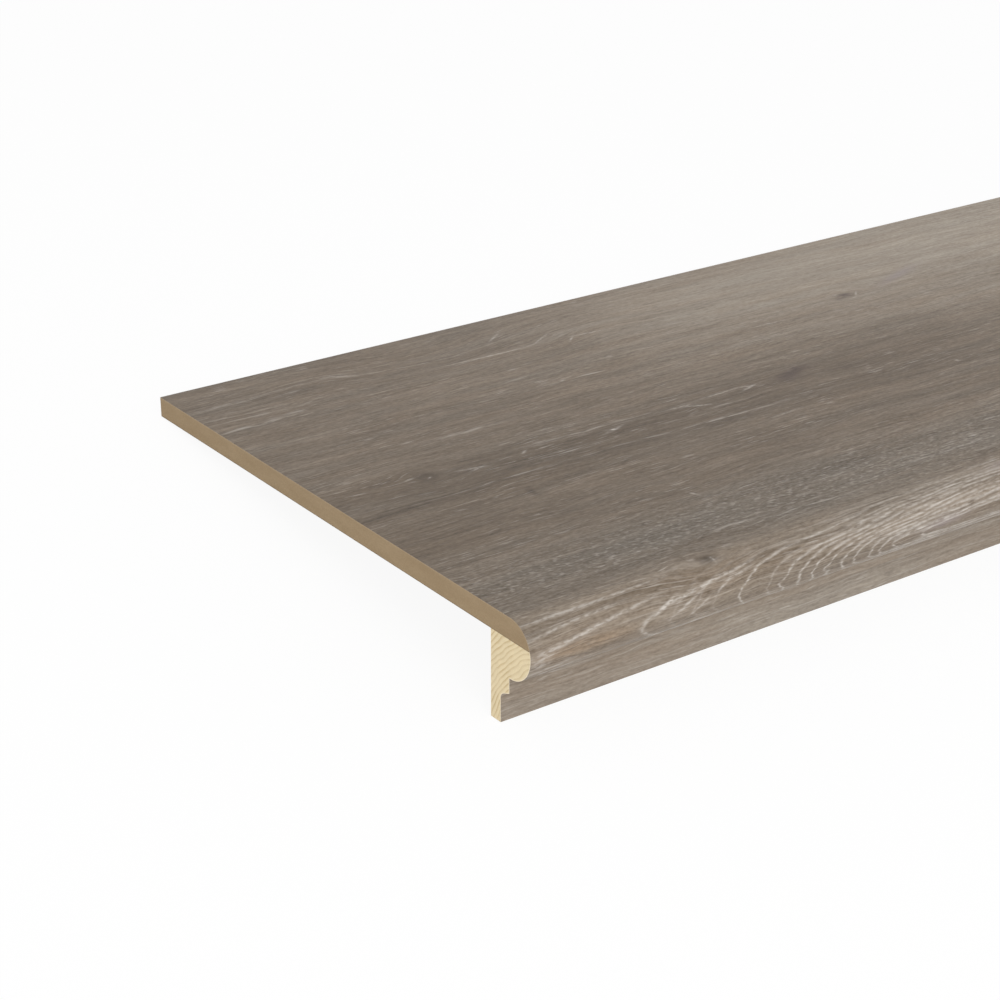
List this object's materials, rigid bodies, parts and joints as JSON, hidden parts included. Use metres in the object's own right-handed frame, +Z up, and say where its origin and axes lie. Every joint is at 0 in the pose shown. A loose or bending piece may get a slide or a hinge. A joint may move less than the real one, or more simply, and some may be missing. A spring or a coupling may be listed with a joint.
{
  "type": "stair tread",
  "caption": "Flat stair tread cover: a thin decorated board with a solid wood round nosing glued under its front edge and a printed oak laminate wrapped over both.",
  "frame": {"origin": "on the floor, under the middle of the overall box of the tread as it lies at rest", "axes": "+X along the length of the stock, +Y from the nose to the rear edge, +Z up; the tread lies tilted rear-down by 8.15 degrees about X, standing on the rear corner of the nosing's tail and on the lower rear edge of the board"},
  "size_m": [1, 0.299, 0.0505],
  "materials": {
    "tread_board": "sawn high-density fibreboard, fine felted fibres, matt",
    "nosing_profile": "milled solid softwood, sawn end grain with growth rings, matt",
    "decor_laminate": "resin laminate printed as limed grey oak, satin with a light embossed grain"
  },
  "bodies": {
    "root": {"tread_board": "tread_board", "nosing_profile": "nosing_profile", "decor_laminate": "decor_laminate"}
  },
  "joints": []
}
